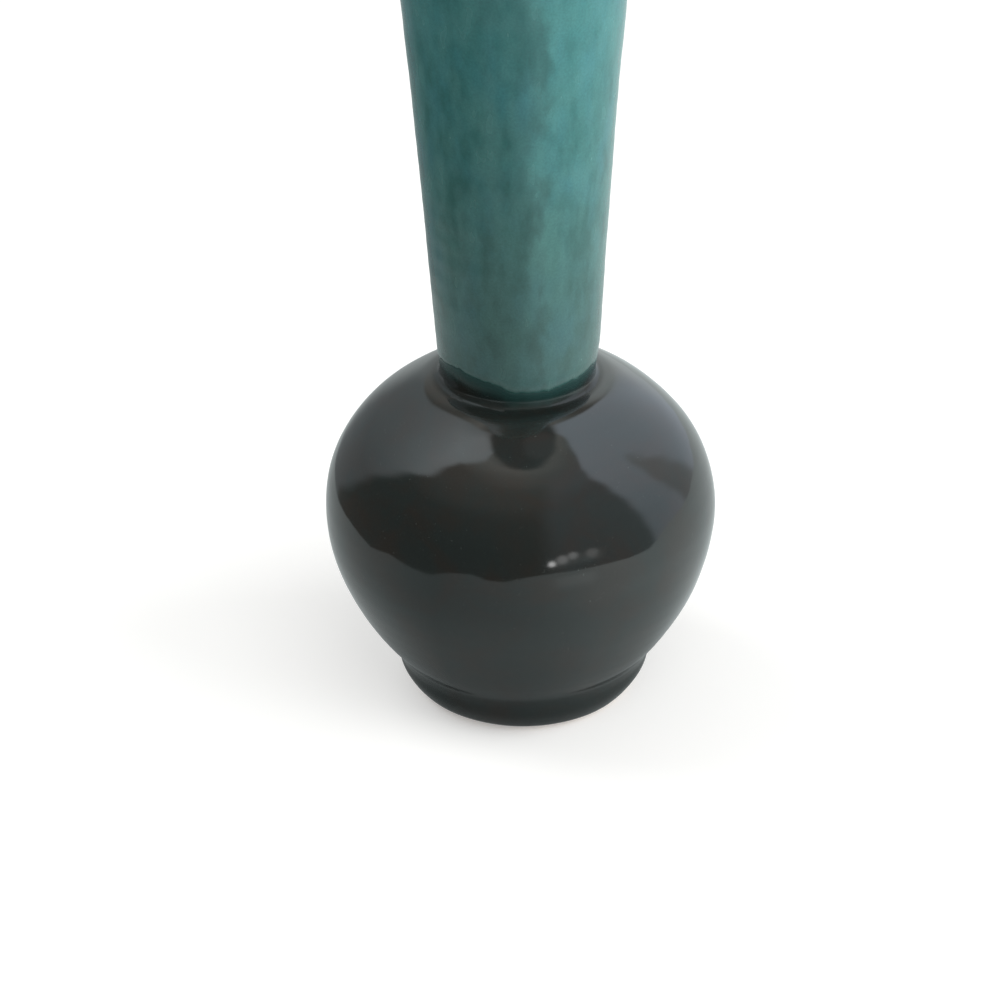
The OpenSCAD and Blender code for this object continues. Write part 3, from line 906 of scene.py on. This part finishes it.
# Colour of the room in each direction: the front wall fades into the back one, then each patch, the strip
# and each disc is painted over what is there, as far as its soft edges let it
def roomGlow(turn, rise):
    rise = np.maximum(rise, room["lowest"])
    bright = valueAt(room["front"], rise)
    behind = soft((np.abs(turn) - room["backTurn"]) / room["backBlend"])
    bright = bright + (valueAt(room["back"], rise) - bright) * behind
    glow = bright[..., None] * linear(room["wallTint"])[:3]
    for p in room["patches"].values():
        edges = (turn - valueAt(p["left"], rise), valueAt(p["right"], rise) - turn, p["top"] - rise)
        share = math.prod(soft(edge / p["blend"]) for edge in edges)[..., None]
        level = valueAt(p["bright"], rise) * valueAt(p.get("sides", [(0, 1)]), turn)
        glow += (level[..., None] * linear(p["tint"])[:3] - glow) * share
    s = room["strip"]
    edges = (turn - s["line"][0][0], s["line"][-1][0] - turn,
             s["half"] - np.abs(rise - valueAt(s["line"], turn)))
    share = math.prod(soft(edge / blend) for edge, blend in zip(edges, s["blends"]))
    glow += (s["bright"] - glow) * share[..., None]
    for discTurn, discRise, radius, bright, blend in room["discs"].values():
        away = np.degrees(np.arccos(np.clip(toward(turn, rise) @ toward(discTurn, discRise), -1, 1)))
        glow += (bright - glow) * soft((radius - away) / blend)[..., None]
    return glow


# The table that the gloss mirrors: darker under the vase, and brighter toward the window. Pairs give the
# brightness by distance and by turn, and how far it reaches at each turn, in mm.
table = {
    "byDistance": [(26, 0.27), (30, 0.33), (38, 0.46), (46, 0.64), (56, 0.84), (68, 0.96), (80, 0.97),
                   (100, 0.96), (150, 1), (300, 1.08)],
    "byTurn": [(-180, 0.6), (-120, 0.6), (-75, 0.6), (-42, 0.5), (-20, 0.6), (-6, 0.66), (8, 0.76),
               (22, 0.92), (37, 1.12), (55, 1.2), (85, 1.12), (105, 1.0), (130, 0.88), (180, 0.78)],
    "reach": [(-180, 205), (-105, 250), (-84, 215), (-72, 255), (-58, 230), (-47, 222), (-37, 300),
              (-27, 360), (-18, 290), (-8, 285), (0, 350), (8, 430), (18, 473), (47, 470), (58, 400),
              (72, 410), (90, 900), (180, 900)],
    # the vase's shadow near its foot, and a patch of sun beyond
    "shade": {"turn": 60, "spread": 48, "from": 120, "over": 60, "depth": 0.34},
    "gleam": {"turn": 26, "half": 10, "fade": 4, "distance": 250, "deep": 55, "blend": 40, "gain": 0.28},
    "turnStep": 3.0, "rows": 40, "rowEase": 1.5, "height": -0.04, "tint": "#f5ffff",
}


# A glowing colour at each point of a stage piece, which shows only in reflections, so it lights nothing
def paintGlow(piece, glow):
    colours = np.concatenate([glow, np.ones_like(glow[..., :1])], -1)
    keepValue(piece, "glow", colours, "FLOAT_COLOR", "color")
    for ray in ("camera", "diffuse", "transmission", "volume_scatter", "shadow"):
        setattr(piece, "visible_" + ray, False)


def mirroredMaterial():
    material, add = newMaterial("mirrored_room")
    glow = add("Attribute", attribute_name="glow").outputs["Color"]
    add("OutputMaterial", {"Surface": add("Emission", {"Color": glow, "Strength": 1})})
    material.cycles.emission_sampling = "NONE"
    return material


# A ball round the vase: each turn and rise at one distance from its centre
def makeRoom(material):
    turn, rise = (np.unique(np.concatenate([np.arange(*step) for step in pair])) for pair in room["steps"])
    turn, rise = np.meshgrid(turn, rise)
    points = room["distance"] * toward(turn, rise) + [0, 0, room["centre"]]
    paintGlow(stagePiece("mirrored_room", points, material), roomGlow(turn, rise))


# A flat sheet: at each turn its rows go out to its reach, closer together near the vase
def makeTable(material):
    turn = np.arange(-180, 181, table["turnStep"])[None, :]
    share = np.linspace(0, 1, table["rows"])[:, None] ** table["rowEase"]
    distance = share * valueAt(table["reach"], turn)
    points = distance[..., None] * toward(turn, 0 * distance) + [0, 0, table["height"]]
    glow = valueAt(table["byDistance"], distance) * valueAt(table["byTurn"], turn)
    s, g = table["shade"], table["gleam"]
    near = np.clip((s["from"] - distance) / s["over"], 0, 1) * bell((turn - s["turn"]) / s["spread"])
    inside = soft((g["half"] - np.abs(turn - g["turn"])) / g["fade"])
    inside = inside * soft((g["deep"] - np.abs(distance - g["distance"])) / g["blend"])
    glow = (glow * (1 - s["depth"] * near) * (1 + g["gain"] * inside))[..., None]
    paintGlow(stagePiece("mirrored_table", points, material), glow * linear(table["tint"])[:3])


# Soft lights: turn and rise in degrees, distance and width in metres, and power in watts
lights = {"right_softbox": (75, 28, 1.3, 1.1, 15), "front_softbox": (20, 50, 1.5, 0.9, 5),
          "left_softbox": (-110, 50, 1.4, 0.9, 8)}


def makeLight(name, turn, rise, distance, width, power):
    data = bpy.data.lights.new(name, "AREA")
    data.shape = "SQUARE"
    data.size = width
    data.energy = power
    lamp = newObject(name, data)
    away = Vector(toward(turn, rise))
    facing = away.to_track_quat("Z", "Y").to_matrix().to_4x4()
    lamp.matrix_world = Matrix.Translation(away * distance) @ facing
    lamp.visible_glossy = False  # the mirrored room draws the reflections


# White where a camera, glossy or transmitted ray sees it, and a soft fill for everything else
def makeWorld():
    world = bpy.data.worlds.new("white_studio")
    scene.world = world
    world.use_nodes = True
    tree = world.node_tree
    tree.nodes.clear()
    path = addNode(tree, "LightPath").outputs
    seen = path["Is Camera Ray"]
    for ray in ("Is Glossy Ray", "Is Transmission Ray"):
        seen = addNode(tree, "Math", {0: seen, 1: path[ray]}, operation="MAXIMUM")
    level = addNode(tree, "MapRange", {"Value": seen, "To Min": stageLook["fill"], "To Max": 1})
    glow = addNode(tree, "Background", {"Color": linear(1), "Strength": level})
    addNode(tree, "OutputWorld", {"Surface": glow})


# The photograph's view: how far off in mm and how steeply it looks down, its lens, and where it centres
viewPoint = {"distance": 576.0, "tilt": 30.26, "roll": -1.10, "lens": 83.95, "sensor": 36, "aside": -5.03,
             "up": 0.41, "clip": (0.01, 20)}


def makeCamera():
    v = viewPoint
    away, upward = Vector(toward(0, v["tilt"])), Vector(toward(0, v["tilt"] + 90))
    aim = Vector((v["aside"], 0, form["bellyHeight"])) + upward * v["up"]
    data = bpy.data.cameras.new("photo_camera")
    data.sensor_width = v["sensor"]
    data.lens = v["lens"]
    data.clip_start, data.clip_end = v["clip"]
    camera = newObject("photo_camera", data)
    turns = (math.radians(90 - v["tilt"]), "X"), (math.radians(v["roll"]), "Z")
    tilted, rolled = (Matrix.Rotation(turn, 4, axis) for turn, axis in turns)
    camera.matrix_world = Matrix.Translation((aim + away * v["distance"]) * mm) @ tilted @ rolled
    scene.camera = camera


makeFloor()
mirrored = mirroredMaterial()
makeRoom(mirrored)
makeTable(mirrored)
for name, light in lights.items():
    makeLight(name, *light)
makeWorld()
makeCamera()
scene.view_settings.view_transform = "Standard"
print("stage set")
